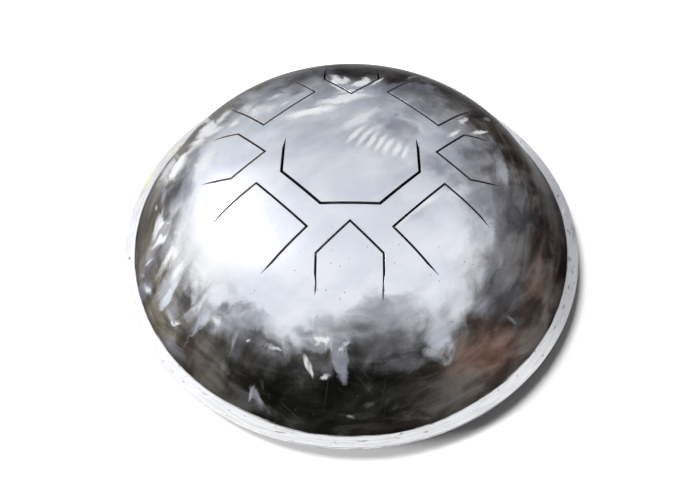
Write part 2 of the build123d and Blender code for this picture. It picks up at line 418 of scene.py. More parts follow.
def make_shell(sizes):
    """Domed sheet with its rim and the holes that the saw cuts leave round the tongues."""
    arcs = dome_arcs(sizes)
    bm = dome_skin(sizes, arcs)
    holes = []
    for name, root in roots().items():
        kerf = kerf_of(sizes, name)
        hole = cut_lines(sizes, name, root, kerf / 2, taper=True)
        filed = cut_lines(sizes, name, root, kerf / 2 + sizes.edge_break, taper=True)
        bound = hole + [root_line(root)]
        near = [face for face in bm.faces if within(bound, face.calc_center_median(), NEAR_CUT)]
        geom = slice_along(bm, parts_of(near), filed + bound)
        gone = [f for f in geom if isinstance(f, bmesh.types.BMFace) and within(bound, f.calc_center_median())]
        bmesh.ops.delete(bm, geom=gone, context="FACES")
        holes.append((root, bound))
    drape(bm, sizes, arcs)
    for root, bound in holes:
        break_edges(bm, sizes, root, bound)
    thicken(bm, sizes, arcs)
    weld = (WELD_HIGH.z - WELD_LOW.z) / 2
    for height, width, segments in ((arcs.rim_top, sizes.rim_round, 2), (SHELL_LOW.z, weld, 1)):
        bmesh.ops.bevel(bm, geom=rim_edges(bm, sizes.rim_radius, height), offset=width, offset_type="OFFSET",
                        affect="EDGES", segments=segments, profile=0.5, material=-1)
    return finish_sheet(bm, "dome_sheet")


def make_tongue(sizes, name):
    """Tongue that the saw cut leaves, still part of the sheet at its root."""
    arcs = dome_arcs(sizes)
    root = roots()[name]
    kerf = kerf_of(sizes, name)
    edge = cut_lines(sizes, name, root, -kerf / 2)
    filed = cut_lines(sizes, name, root, -kerf / 2 - sizes.edge_break)
    bm = dome_skin(sizes, arcs)
    bound = edge + [root_line(root, sizes.root_gap)]
    far = [face for face in bm.faces if not within(bound, face.calc_center_median(), ROUND_TONGUE)]
    bmesh.ops.delete(bm, geom=far, context="FACES")
    for line in bound:
        bmesh.ops.bisect_plane(bm, geom=parts_of(bm.faces[:]), dist=SNAP, plane_co=line.point, plane_no=line.normal,
                               clear_outer=True)
    slice_along(bm, parts_of(bm.faces[:]), filed)
    drape(bm, sizes, arcs)
    break_edges(bm, sizes, root, bound)
    thicken(bm, sizes, arcs)
    return finish_sheet(bm, f"sheet_{name}")


class Paint:
    """Builds a node tree a node at a time."""

    def __init__(self, tree):
        self.tree = tree

    def feed(self, socket, value):
        """Links a socket or sets it."""
        if isinstance(value, bpy.types.NodeSocket):
            self.tree.links.new(value, socket)
        else:
            socket.default_value = value

    def add(self, kind, inputs=None, **settings):
        """Adds a node with its settings and inputs."""
        node = self.tree.nodes.new(kind)
        for key, value in settings.items():
            setattr(node, key, value)
        for key, value in (inputs or {}).items():
            self.feed(node.inputs[key], value)
        return node

    def math(self, operation, *values):
        return self.add("ShaderNodeMath", dict(enumerate(values)), operation=operation).outputs[0]

    def vector(self, operation, *values):
        node = self.add("ShaderNodeVectorMath", dict(enumerate(values)), operation=operation)
        return node.outputs["Value"] if operation in ("LENGTH", "DOT_PRODUCT") else node.outputs[0]

    def fade(self, value, low, high, to_low=0.0, to_high=1.0):
        """Smooth step, which stays between its two ends without a clamp."""
        node = self.add("ShaderNodeMapRange", {0: value, 1: low, 2: high, 3: to_low, 4: to_high},
                        interpolation_type="SMOOTHSTEP", clamp=False)
        return node.outputs[0]

    def toward(self, vector, direction, *ends):
        """Smooth step of how far a vector lies in a direction."""
        return self.fade(self.vector("DOT_PRODUCT", vector, direction), *ends)

    def swing(self, noise):
        """Noise about zero."""
        return self.math("SUBTRACT", noise, 0.5)

    def mix(self, share, first, second):
        """Mixes two colours."""
        first, second = (color if isinstance(color, bpy.types.NodeSocket) else plain(color)
                         for color in (first, second))
        return self.add("ShaderNodeMix", {0: share, 6: first, 7: second}, data_type="RGBA").outputs[2]

    def noise(self, vector, scale, detail, roughness, distortion=0.0, color=False):
        node = self.add("ShaderNodeTexNoise", {"Vector": vector, "Scale": scale, "Detail": detail,
                                               "Roughness": roughness, "Distortion": distortion})
        return node.outputs["Color" if color else "Fac"]

    def mapped(self, vector, kind, scale, turn=0.0):
        """Stretches a pattern, and turns it about the drum's axis."""
        node = self.add("ShaderNodeMapping", {"Vector": vector, "Rotation": (0, 0, turn), "Scale": scale},
                        vector_type=kind)
        return node.outputs[0]

    def upright(self, height):
        """Vector that points up by a height."""
        return self.add("ShaderNodeCombineXYZ", {"Z": height}).outputs[0]

    def bump(self, height, strength, distance):
        return self.add("ShaderNodeBump", {"Height": height, "Strength": strength, "Distance": distance}).outputs[0]


def painted(name):
    """New material with an empty node tree, and its object coordinates."""
    material = bpy.data.materials.new(name)
    material.use_nodes = True
    material.node_tree.nodes.clear()
    p = Paint(material.node_tree)
    return material, p, p.add("ShaderNodeTexCoord").outputs["Object"]


def finished(p, **sockets):
    """Closes a material with one principled shader."""
    shader = p.add("ShaderNodeBsdfPrincipled", {key.replace("_", " "): value for key, value in sockets.items()})
    p.add("ShaderNodeOutputMaterial", {"Surface": shader.outputs[0]})


def plain(color):
    """Colour with full opacity."""
    return (*color, 1.0)


Mark = namedtuple("Mark", "tone x y length width turn strength soft ragged bristle lean")

# Most marks are painted light: bright and white ones paint highlights and reflections, grey and dark ones paint shade
# and the dark reflection on the wall, among smears.
# Marks on the sheet in the order they lie: tone, place to the right and to the back, half length and half width in
# thousandths of the rim radius, turn in degrees, then in percent how strong the mark is, how soft and ragged its edge,
# how streaky it is where that isn't 30, and which side is crisp.
MARKS = (
    # Grey right half and back of the crown, painted shade away from the light
    ("pewter", -150, 80, 200, 130, 20, 22, 100, 5, 20),
    ("pewter", 460, 40, 220, 160, 80, 95, 100, 5, 20),
    ("pewter", 300, 320, 270, 190, -42, 100, 80, 5, 20),
    ("pewter", -280, 460, 220, 150, 38, 95, 80, 6),
    ("pewter", -110, 430, 160, 120, 90, 95, 80, 6, 20),
    ("pewter", -150, 270, 120, 50, 22, 55, 90, 8),
    ("pewter", 160, 120, 140, 90, -38, 75, 80, 10, 20, 30),
    ("pewter", 80, 30, 170, 90, -25, 45, 100, 8, 20),
    ("pewter", 330, -70, 140, 70, -48, 75, 100, 8, 20),
    ("pewter", 240, 200, 100, 50, -42, 55, 100, 8, 20),
    ("pewter", 120, 290, 140, 60, 0, 55, 90, 12, 20),
    # Dark back, a painted reflection of dark surroundings
    ("slate", 20, 550, 130, 135, 90, 88, 35, 5, 20),
    ("slate", 200, 490, 120, 80, 10, 95, 70, 8, 20),
    ("slate", 460, 420, 180, 110, -45, 95, 70, 7, 30, -30),
    ("slate", 540, 230, 90, 70, 10, 90, 60, 10, 20),
    ("lead", -240, 500, 160, 100, 30, 95, 90, 8, 40),
    ("lead", -120, 520, 100, 70, 90, 80, 90, 8),
    ("silver", -440, 380, 140, 70, -45, 70, 100, 8, 50),
    ("lead", -260, 430, 140, 70, 40, 85, 90, 8, 60),
    ("lead", -100, 470, 80, 60, 90, 85, 100, 10),
    ("lead", 320, 340, 200, 120, -46, 75, 90, 8, 50),
    ("lead", 20, 530, 100, 80, 90, 45, 90, 8, 50),
    ("slate", 420, 360, 110, 60, -46, 75, 90, 10, 50),
    ("lead", 500, 30, 70, 50, 40, 50, 90, 20),
    ("silver", 400, 0, 50, 40, 0, 60, 100, 10),
    # Right side of the wall, painted reflection and shade with brown patches
    ("lead", 600, -220, 360, 170, 76, 100, 100, 4),
    ("lead", 550, -470, 240, 130, 54, 100, 100, 4),
    ("pewter", 500, -200, 220, 110, 86, 90, 100, 5),
    ("pewter", 530, -340, 140, 60, 70, 30, 100, 6),
    ("slate", 640, -370, 160, 100, 64, 72, 100, 6),
    ("pewter", 595, -10, 150, 34, 88, 85, 70, 8, 60),
    ("umber", 520, -625, 140, 40, 26, 95, 90, 8),
    ("rust", 500, -690, 230, 90, 28, 90, 100, 5, 20),
    ("rust", 520, -690, 130, 45, 29, 60, 100, 8),
    ("rust", 720, -400, 190, 90, 64, 36, 100, 6, 20),
    ("umber", 710, -490, 80, 40, 60, 85, 70, 10),
    ("umber", 790, -240, 100, 60, 75, 80, 90, 10),
    ("silver", 485, -330, 85, 62, 60, 95, 100, 8),
    ("silver", 455, -470, 70, 45, 60, 60, 100, 8),
    ("lead", 630, -572, 50, 30, 30, 60, 100, 10),
    ("slate", 585, -420, 60, 45, 64, 40, 100, 8),
    ("umber", 715, -400, 60, 40, 64, 55, 100, 8),
    ("umber", 730, -580, 90, 50, 56, 65, 100, 8),
    ("umber", 410, -798, 110, 36, 24, 65, 100, 8),
    ("lead", 690, -690, 130, 12, 45, 60, 90, 6, 100),
    ("pewter", 605, -575, 34, 10, 0, 60, 80, 20, 40),
    # Front edge of the polish: painted highlights on the crown, painted dark reflection on the wall
    ("bright", 310, -570, 150, 115, 66, 100, 90, 5),
    ("bright", -170, -650, 150, 60, -5, 95, 80, 8, 20),
    ("bright", 380, -410, 240, 160, 58, 100, 100, 4, 40),
    ("bright", 390, -590, 100, 60, 62, 75, 100, 6),
    ("silver", 310, -680, 70, 48, 40, 90, 90, 10),
    ("pewter", 460, -575, 80, 45, 50, 65, 100, 8),
    ("pewter", 70, -670, 180, 70, 2, 95, 90, 8, 20, -30),
    ("pewter", 120, -625, 110, 55, 0, 75, 100, 8),
    ("pewter", 80, -660, 220, 45, 4, 75, 100, 8),
    ("lead", 200, -705, 80, 46, 8, 75, 100, 8),
    ("lead", 45, -682, 70, 30, 4, 60, 100, 10),
    ("lead", 90, -740, 200, 65, 4, 100, 100, 7),
    ("bright", -200, -662, 100, 32, -4, 55, 100, 10),
    ("charcoal", 0, -825, 300, 65, 2, 95, 90, 6, 20),
    ("pewter", -370, -635, 150, 55, -20, 85, 100, 8),
    ("lead", -330, -700, 130, 50, -14, 95, 90, 10),
    ("slate", -160, -775, 140, 40, -6, 90, 80, 10, 20),
    ("slate", -360, -745, 150, 50, -16, 95, 90, 10, 20),
    ("slate", -490, -680, 140, 55, -28, 95, 90, 10, 20),
    ("lead", 200, -770, 160, 24, 16, 80, 100, 10, 50),
    ("silver", -320, -640, 70, 30, -10, 60, 100, 10),
    ("slate", -260, -738, 70, 45, -20, 85, 90, 12),
    ("charcoal", -220, -790, 100, 36, -10, 75, 90, 10),
    ("charcoal", -490, -748, 110, 35, -34, 60, 100, 8),
    ("charcoal", -400, -836, 100, 30, -26, 55, 100, 8),
    ("lead", -400, -722, 50, 35, -30, 70, 90, 15, 40),
    ("pewter", -400, -602, 95, 20, 0, 85, 80, 8, 50),
    ("pewter", -400, -682, 52, 13, 50, 70, 80, 18, 40),
    ("lead", -450, -755, 24, 28, 0, 60, 90, 15, 20),
    ("pewter", 285, -732, 36, 12, 5, 75, 90, 25, 50),
    # Left side of the wall, with white painted highlights round the glare and painted dark reflection
    ("umber", -580, -680, 220, 90, -40, 95, 90, 4, 40),
    ("taupe", -740, -540, 180, 70, -52, 90, 90, 4, 50),
    ("white", -470, -400, 240, 150, -45, 100, 100, 5, 20),
    ("white", -530, -440, 130, 80, -40, 95, 100, 5),
    ("pewter", -800, -310, 130, 70, 75, 50, 100, 8, 50),
    ("lead", -690, -70, 120, 65, 84, 90, 90, 7),
    ("pewter", -640, -100, 90, 40, 84, 75, 90, 10),
    ("lead", -690, -240, 90, 50, 80, 60, 90, 10),
    ("pewter", -640, 60, 80, 40, 80, 85, 90, 12, 20),
    ("pewter", -760, -50, 60, 35, 80, 60, 90, 12),
    ("pewter", -685, -632, 75, 30, -46, 60, 90, 10, 50),
    ("silver", -850, -398, 55, 28, -60, 80, 90, 15, 40),
    ("white", -815, 145, 200, 75, -63, 75, 90, 6, 90, 20),
    ("white", -710, 60, 90, 50, 76, 95, 60, 8, 20, 30),
    ("white", -640, 145, 80, 36, -30, 92, 80, 12),
    ("white", -600, 210, 100, 66, -60, 92, 70, 8, 50, -20),
    ("white", -540, 270, 75, 34, 65, 85, 80, 12, 40),
    ("white", -655, 350, 105, 36, -60, 75, 80, 8, 100),
    ("white", -610, 215, 100, 80, -60, 60, 100, 6, 40),
    ("white", -485, 190, 40, 20, 62, 75, 80, 15),
    ("white", -585, -5, 80, 55, 80, 75, 90, 10, 20),
    ("pewter", -770, -45, 90, 22, -78, 75, 90, 12, 40),
    ("white", -813, -75, 26, 8, -66, 60, 80, 15),
    ("pewter", -745, -205, 100, 75, 60, 70, 90, 8, 20),
    ("white", -772, -170, 72, 28, 62, 75, 80, 25, 50, 30),
    ("white", -738, -240, 58, 28, 18, 80, 80, 25, 50, -30),
    ("lead", -728, -175, 36, 24, -50, 85, 70, 12, 20),
    ("taupe", -812, -205, 50, 28, 80, 80, 90, 12),
    ("lead", -662, -195, 45, 28, 80, 50, 90, 12),
    ("pewter", -700, -300, 85, 45, 8, 85, 100, 10, 50),
    ("white", -640, -300, 80, 60, 70, 70, 100, 8, 40),
    ("pewter", -815, -300, 50, 13, -8, 85, 90, 18),
    ("white", -822, -300, 34, 6, -10, 60, 90, 18),
    ("pewter", -852, -330, 28, 8, -50, 75, 80, 18),
    ("pewter", -820, -400, 80, 38, -40, 85, 90, 12, 40),
    ("white", -815, -405, 60, 16, -46, 55, 90, 12, 60),
    ("white", -680, -360, 110, 45, 14, 75, 100, 10, 60),
    ("pewter", -700, -430, 100, 40, 26, 80, 100, 10, 60),
    ("slate", -775, -430, 45, 22, 12, 75, 80, 14),
    ("slate", -725, -405, 30, 14, 20, 60, 80, 14),
    ("lead", -660, -525, 80, 50, -30, 80, 90, 10),
    ("pewter", -685, -535, 50, 18, -42, 65, 90, 15, 40),
    ("white", -662, -560, 34, 8, -38, 55, 90, 45, 90),
    ("bright", -460, -555, 90, 52, -30, 90, 100, 8),
    ("white", -640, -412, 65, 42, 30, 80, 100, 12, 40),
    ("slate", -700, -550, 50, 30, -40, 60, 90, 14),
    ("silver", -680, -462, 100, 28, 32, 90, 90, 14, 60, -50),
    ("pewter", -550, -545, 85, 36, 26, 90, 90, 8, 100),
    ("white", -530, -550, 70, 20, 26, 55, 100, 14, 60),
    ("silver", -540, -595, 95, 28, 26, 85, 100, 14, 70, -40),
    ("pewter", -470, -625, 42, 22, -40, 80, 90, 25, 50),
    ("white", -480, -622, 26, 10, -40, 55, 90, 25, 50),
    ("slate", -608, -520, 72, 52, -30, 92, 80, 14),
    ("charcoal", -595, -512, 45, 34, -30, 65, 90, 16),
    ("white", -450, -558, 70, 42, -30, 75, 100, 10),
    # Strokes at the front, light and dark, within the wall's painted dark reflection
    ("pewter", -150, -705, 80, 20, -6, 65, 90, 15),
    ("pewter", -70, -664, 90, 32, 0, 70, 100, 10),
    ("lead", -30, -690, 100, 34, 4, 60, 100, 10),
    ("lead", -440, -598, 36, 16, 0, 75, 80, 18),
    ("slate", 30, -768, 80, 40, 4, 85, 90, 10),
    ("slate", -130, -760, 75, 28, -10, 92, 80, 12),
    ("pewter", -125, -733, 55, 10, -18, 85, 80, 15),
    ("lead", -72, -790, 24, 32, 0, 85, 80, 15, 20),
    ("slate", -90, -760, 45, 30, -4, 80, 90, 12),
    ("slate", 15, -745, 35, 45, 10, 70, 90, 10),
    ("slate", -78, -750, 20, 18, 0, 75, 90, 15),
    ("pewter", -30, -762, 34, 68, 12, 100, 30, 5, 20),
    ("white", -12, -742, 8, 30, 8, 50, 90, 30, 60),
    ("white", -88, -714, 30, 14, -10, 85, 60, 30, 50),
    ("pewter", -185, -745, 30, 14, -30, 75, 80, 20),
    ("white", -150, -775, 22, 10, -50, 70, 80, 45, 90),
    ("white", -130, -792, 24, 12, -62, 75, 80, 45, 90),
    ("white", -80, -812, 18, 9, 30, 65, 80, 45, 80),
    ("pewter", -270, -738, 50, 12, 8, 70, 90, 40, 90),
    ("white", -255, -735, 26, 7, 4, 60, 80, 45, 90),
    ("white", -355, -700, 10, 6, 0, 60, 80, 25),
    ("pewter", -320, -852, 42, 30, -40, 65, 90, 25, 60),
    ("pewter", -350, -835, 34, 8, 58, 70, 80, 28, 50),
    ("pewter", -325, -845, 34, 6, -64, 60, 80, 28, 50),
    ("pewter", 5, -907, 16, 5, -10, 60, 80, 30, 50),
    ("lead", 70, -880, 30, 12, 10, 45, 90, 20, 50),
    # Run-out of the saw at the front
    ("charcoal", -116, -569, 31, 4.5, 85, 95, 60, 0, 0),
    ("charcoal", 114.7, -577, 40, 4.5, 89, 95, 60, 0, 0),
    # Strokes on the crown and at the back, with painted highlights on the crown
    ("bright", -20, -300, 220, 100, 0, 80, 100, 5, 20),
    ("bright", -330, 90, 120, 60, 40, 55, 100, 6, 20),
    ("pewter", 235, 130, 80, 36, -46, 60, 100, 8),
    ("lead", 390, -140, 60, 36, 40, 45, 100, 8),
    ("silver", 100, 285, 60, 30, 0, 60, 100, 10),
    ("white", -445, 300, 60, 44, 45, 65, 90, 12),
    ("white", -670, 115, 50, 35, 70, 65, 90, 12),
    ("lead", -235, 365, 60, 40, 45, 65, 90, 10),
    ("slate", 430, 290, 70, 50, 45, 85, 90, 10),
    ("white", 100, 110, 90, 32, 40, 45, 100, 8, 40),
    ("white", -160, 212, 150, 34, 13, 100, 70, 10, 40, 40),
    ("white", -30, 290, 150, 36, 12, 85, 70, 10, 40, 30),
    ("white", 0, 345, 70, 20, 10, 65, 80, 18),
    ("white", 40, 165, 160, 36, 42, 60, 90, 8, 50, 20),
    ("white", 245, 150, 130, 30, -45, 28, 90, 8, 50),
    ("white", -55, 435, 50, 30, -66, 90, 50, 18, 20),
    ("white", 40, 415, 56, 24, 42, 90, 50, 15, 20),
    ("white", -60, 375, 70, 10, -46, 75, 80, 12),
    ("white", 110, 430, 60, 9, 50, 80, 70, 15),
    ("white", -375, 270, 90, 60, 45, 70, 100, 12),
    ("white", -280, 275, 36, 10, 50, 60, 80, 15),
    ("white", -325, 340, 44, 14, 35, 50, 90, 18, 50),
    ("pewter", 268, 505, 50, 14, 58, 85, 70, 20, 40),
    ("pewter", 340, 440, 70, 24, 80, 65, 90, 12, 80),
    ("white", 410, 120, 56, 13, 45, 75, 80, 12),
    ("white", 460, 215, 50, 16, 46, 60, 80, 18),
    ("white", 530, 163, 60, 11, 30, 80, 70, 18, 20, 20),
    ("pewter", 575, 285, 40, 14, 45, 80, 80, 20),
    ("white", 265, -255, 100, 22, 43, 80, 90, 6, 100),
    ("white", 200, -315, 70, 18, 46, 55, 90, 8, 100),
    # Light and dark touches where smears and painted reflections meet
    ("silver", 335, -690, 75, 48, 50, 95, 80, 10),
    ("silver", 480, -330, 70, 55, 60, 75, 100, 8),
    ("pewter", 495, -570, 60, 34, 50, 65, 100, 10),
    ("silver", 250, -290, 70, 26, 45, 55, 100, 8),
    ("silver", -285, 160, 100, 40, 20, 55, 100, 8),
    ("bright", -448, -562, 80, 42, -30, 80, 100, 10),
    ("lead", -840, -415, 60, 22, -64, 65, 90, 15),
    ("lead", -655, -660, 70, 22, -45, 60, 90, 15),
    ("lead", -310, -875, 50, 30, -20, 45, 90, 15),
    ("lead", 600, 48, 50, 30, 75, 60, 90, 15),
    ("umber", 170, -925, 200, 26, 9, 60, 100, 12, 50),
    ("slate", 415, -790, 110, 32, 38, 55, 100, 10, 40),
    ("umber", 740, -590, 90, 40, 52, 50, 100, 10, 40),
    ("slate", -640, -545, 40, 30, -40, 60, 90, 15),
    ("taupe", -806, -205, 70, 30, 78, 75, 90, 15),
    ("slate", -522, -738, 60, 36, -40, 60, 90, 15),
    ("lead", 60, -682, 80, 24, 4, 50, 100, 10),
    ("pewter", 182, -606, 50, 48, 0, 50, 100, 10),
    ("pewter", 235, 100, 50, 90, 0, 40, 100, 8),
    ("lead", 407, -157, 38, 26, 40, 50, 100, 10),
    ("slate", 436, 268, 45, 32, 45, 60, 100, 10),
    ("lead", 497, 92, 36, 32, 60, 60, 100, 10),
)

# Stains and flecks on the ground rim, in the same terms
RIM_MARKS = (
    ("cream", -955, 250, 110, 12, 75, 80, 70, 20, 40),
    ("cream", -982, 120, 45, 10, 83, 75, 70, 20, 40),
    ("cream", -872, 440, 100, 12, 63, 75, 70, 20, 40),
    ("rust", 960, 150, 18, 6, 81, 65, 70, 30, 40),
    ("rust", 966, -60, 24, 6, 92, 65, 70, 30, 40),
    ("lead", 955, 20, 20, 5, 88, 60, 70, 30, 40),
    ("rust", 940, -265, 16, 6, 74, 60, 70, 30, 40),
    ("lead", 865, -430, 22, 5, 63, 55, 70, 30, 40),
    ("rust", 815, -525, 16, 5, 57, 55, 70, 30, 40),
    ("cream", 775, -610, 16, 8, 50, 85, 60, 20),
    ("cream", 965, 60, 30, 10, 88, 45, 70, 20),
    ("lead", 905, -340, 16, 7, 70, 60, 60, 30),
    ("lead", 945, -200, 22, 6, 78, 50, 60, 30),
    ("rust", 50, -975, 30, 4, 3, 60, 70, 30, 40),
    ("rust", -250, -950, 34, 4, -15, 55, 70, 30, 40),
    ("lead", 985, -60, 80, 14, 89, 45, 90, 20, 40),
)

FAN_STROKES = 7


def fan_marks():
    """Short strokes that fan over the centre tongue."""
    shares = [step / (FAN_STROKES - 1) for step in range(FAN_STROKES)]
    return tuple(("white", 20 + 190 * share, 70 - 90 * share, 88 - 36 * share, 17, 53 + 22 * share, 78, 80, 6, 50, 30)
                 for share in shares)


def mark_from(tone, x, y, length, width, turn, strength, soft, ragged, bristle=30, lean=0):
    """One mark from its row, with lengths in rim radii, the turn in radians and shares from 0 to 1."""
    lengths = (value / 1000 for value in (x, y, length, width))
    shares = (value / 100 for value in (strength, soft, ragged, bristle, lean))
    return Mark(tone, *lengths, radians(turn), *shares)


TEAR = 24  # how far a fully ragged edge strays, in half widths
SEED_X, SEED_Y = 40, 17  # give every mark other streaks
CRISPEST = 0.96  # share of its half width from which a mark always fades


def mark_group():
    """Node group that lays one mark over a colour: a soft ragged oval with streaks along it."""
    tree = bpy.data.node_groups.get("wiped_mark")
    if tree:
        return tree
    tree = bpy.data.node_groups.new("wiped_mark", "ShaderNodeTree")
    tree.interface.new_socket("Color", in_out="OUTPUT", socket_type="NodeSocketColor")
    for kind, names in (("Color", ("Color", "Tone")), ("Vector", ("Plan", "Rag", "Middle", "Tear", "Along", "Across")),
                        ("Float", ("Bristle", "Seed", "Lean", "Inner", "Strength"))):
        for name in names:
            tree.interface.new_socket(name, in_out="INPUT", socket_type="NodeSocket" + kind)
    p = Paint(tree)
    given = p.add("NodeGroupInput").outputs
    place = p.vector("SUBTRACT", given["Plan"], given["Middle"])
    place = p.vector("MULTIPLY_ADD", given["Rag"], given["Tear"], place)
    along = p.vector("DOT_PRODUCT", place, given["Along"])
    across = p.vector("DOT_PRODUCT", place, given["Across"])
    away = p.math("SQRT", p.math("MULTIPLY_ADD", along, along, p.math("MULTIPLY", across, across)))
    hair = p.add("ShaderNodeTexNoise", {"W": p.math("MULTIPLY_ADD", across, 3.0, given["Seed"]), "Scale": 1.0,
                                        "Detail": 2.0}, noise_dimensions="1D").outputs[0]
    away = p.math("MULTIPLY_ADD", p.swing(hair), given["Bristle"], away)
    inner = p.math("MINIMUM", p.math("MULTIPLY_ADD", across, given["Lean"], given["Inner"]), CRISPEST)
    share = p.fade(away, 1.0, inner, 0.0, given["Strength"])
    p.add("NodeGroupOutput", {"Color": p.mix(share, given["Color"], given["Tone"])})
    return tree


def smears_and_painted_light(p, color, plan, rag, rows, tones):
    """Lays marks over a colour, each with streaks of its own."""
    for mark in (mark_from(*row) for row in rows):
        run, side = cos(mark.turn), sin(mark.turn)
        tear = TEAR * mark.ragged * mark.width
        color = p.add("ShaderNodeGroup", {
            "Color": color, "Tone": plain(tones[mark.tone]), "Plan": plan, "Rag": rag, "Middle": (mark.x, mark.y, 0),
            "Tear": (tear, tear, 0), "Along": (run / mark.length, side / mark.length, 0),
            "Across": (-side / mark.width, run / mark.width, 0), "Bristle": mark.bristle,
            "Seed": SEED_X * mark.x + SEED_Y * mark.y, "Lean": mark.lean, "Inner": 1 - mark.soft,
            "Strength": mark.strength,
        }, node_tree=mark_group()).outputs[0]
    return color


def dome_steel(finish, radius):
    """Hand-polished sheet: crown painted brighter towards the light, wall painted dark as a reflection of dark
    surroundings, smears left by wiping among painted highlights.
    """
    material, p, place = painted("polished_sheet")
    tone = {name: tuple(getattr(finish, name)) for name in finish.bl_rna.properties.keys()
            if name not in ("rna_type", "name")}
    plan = p.mapped(place, "POINT", (1 / radius, 1 / radius, 0))
    flat = p.vector("ADD", plan, (0, 0, 0))  # the same places, in the kind of vector that the marks take
    out = p.vector("LENGTH", plan)
    around = p.vector("NORMALIZE", plan)
    ringed = p.vector("MULTIPLY_ADD", around, (3.0, 3.0, 0), p.upright(p.math("MULTIPLY", out, 14.0)))
    cloud = p.noise(plan, 6.0, 6.0, 0.60, 0.4)
    streak = p.noise(ringed, 1.6, 5.0, 0.6, 0.8)
    rag = p.vector("SUBTRACT", p.noise(plan, 12.0, 4.0, 0.52, 0.6, color=True), (0.5, 0.5, 0.5))

    # Polished crown, painted lighter to the front left: a painted highlight towards the light
    lit = p.math("MULTIPLY_ADD", p.swing(cloud), 0.4, p.vector("DOT_PRODUCT", flat, (-0.30, -0.95, 0)))
    color = p.mix(p.fade(lit, -0.32, 0.50), tone["silver"], tone["bright"])
    wipe = p.noise(p.vector("MULTIPLY_ADD", rag, (0.5, 0.5, 0), flat), 9.0, 3.0, 0.6, 1.5)
    # painted shade: pewter smears only where the crown is painted darker, away from the light
    smears_in_painted_shade = p.math("MULTIPLY", p.fade(wipe, 0.52, 0.70), p.fade(lit, 0.10, -0.15, 0.05, 0.22))
    color = p.mix(smears_in_painted_shade, color, tone["pewter"])

    # Wall painted dark as a painted reflection of dark surroundings, its tone turning round the drum
    wall = tone["slate"]
    for name, way, low, high in (("taupe", (-1, 0.1, 0), 0.15, 0.75), ("umber", (0.97, -0.25, 0), 0.2, 0.8),
                                 ("charcoal", (-0.12, -1, 0), 0.72, 0.98)):
        wall = p.mix(p.toward(around, way, low, high), wall, tone[name])
    wall = p.mix(p.fade(streak, 0.50, 0.85, 0.0, 0.30), wall, tone["lead"])
    away = p.vector("LENGTH", p.vector("SUBTRACT", flat, (-0.10, -0.15, 0)))
    edge = p.math("MULTIPLY_ADD", p.swing(cloud), 0.30, away)
    color = p.mix(p.fade(edge, 0.49, 0.69), color, wall)

    # Marks that waver with the wipe, smears among painted highlights, shade and reflections: without that link the
    # renderer holds all of them at once and lacks room
    waver = p.math("MULTIPLY_ADD", wipe, 0.006, -0.003)
    laid = p.vector("ADD", flat, p.add("ShaderNodeCombineXYZ", {"X": waver, "Y": waver}).outputs[0])
    color = smears_and_painted_light(p, color, laid, rag, MARKS + fan_marks(), tone)
    blown = p.mapped(plan, "TEXTURE", (0.34, 0.15, 1.0), turn=0.6)
    drift = p.swing(p.noise(blown, 1.0, 3.0, 0.55, 0.3))
    sweep = p.math("MULTIPLY", p.swing(streak), p.fade(out, 0.40, 0.65))
    smoke = p.math("MULTIPLY_ADD", sweep, 0.7, drift)
    color = p.add("ShaderNodeGamma", {"Color": color, "Gamma": p.fade(smoke, -0.22, 0.22, 1.30, 0.78)}).outputs[0]

    # Dark specks, most of them at the front, and fine scratches
    dots = p.add("ShaderNodeTexVoronoi", {"Vector": plan, "Scale": 64.0}).outputs
    chosen = p.toward(dots["Color"], (1, 0, 0), 0.82, 0.86)
    speck = p.math("MULTIPLY", p.fade(dots["Distance"], 0.20, 0.08), chosen)
    front = p.toward(flat, (0.25, -0.97, 0), 0.15, 0.60, 0.15, 0.80)
    color = p.mix(p.math("MULTIPLY", speck, front), color, tone["slate"])
    scratches = None
    for turn in (0.5, 1.35, 2.5):
        lines = p.noise(p.mapped(plan, "TEXTURE", (0.5, 0.012, 1.0), turn), 1.6, 3.0, 0.5)
        hit = p.fade(lines, 0.64, 0.72)
        scratches = p.math("MAXIMUM", scratches, hit) if scratches else hit
    color = p.mix(p.math("MULTIPLY", scratches, 0.06), color, tone["pewter"])

    # Ground rim, painted whiter towards the front as a painted highlight and greyer to the right as painted shade, with
    # grinding lines and rust flecks, ragged where the grinder met the wall
    ring = p.vector("MULTIPLY_ADD", around, (9.0, 9.0, 0), p.upright(p.math("MULTIPLY", out, 150.0)))
    grind = p.noise(ring, 1.0, 6.0, 0.65)
    ragged = p.math("MULTIPLY_ADD", p.swing(grind), 0.020, out)
    ragged = p.math("SUBTRACT", ragged, p.toward(around, (0.08, -0.997, 0), 0.86, 1.0, 0.0, 0.009))
    # painted highlight: the rim turns whiter towards the front
    white = p.toward(around, (0.45, -0.90, 0), 0.3, 0.9)
    ground = p.mix(white, tone["ground"], tone["white"])
    # painted shade: the rim turns greyer to the right
    grey = p.toward(around, (0.99, -0.10, 0), 0.72, 0.98, 0.0, 0.65)
    ground = p.mix(grey, ground, tone["pewter"])
    ground = p.mix(p.fade(grind, 0.38, 0.75, 0.0, 0.30), ground, tone["lead"])
    flecks = p.noise(p.vector("MULTIPLY", ring, (3.0, 3.0, 0.6)), 1.0, 4.0, 0.6)
    ground = p.mix(p.fade(flecks, 0.63, 0.70, 0.0, 0.75), ground, tone["rust"])
    ground = smears_and_painted_light(p, ground, laid, rag, RIM_MARKS, tone)
    on_rim = p.fade(ragged, 0.949, 0.956)
    color = p.mix(on_rim, color, ground)

    rough = p.math("MULTIPLY_ADD", cloud, 0.16, p.math("MULTIPLY_ADD", on_rim, 0.12, 0.24))
    relief = p.math("MULTIPLY_ADD", scratches, 0.5, p.math("MULTIPLY", on_rim, grind))
    normal = p.bump(relief, 0.12, 0.0002)
    finished(p, Base_Color=color, Metallic=1.0, Roughness=rough, Specular_Tint=(0.4, 0.4, 0.41, 1), Normal=normal)
    return material


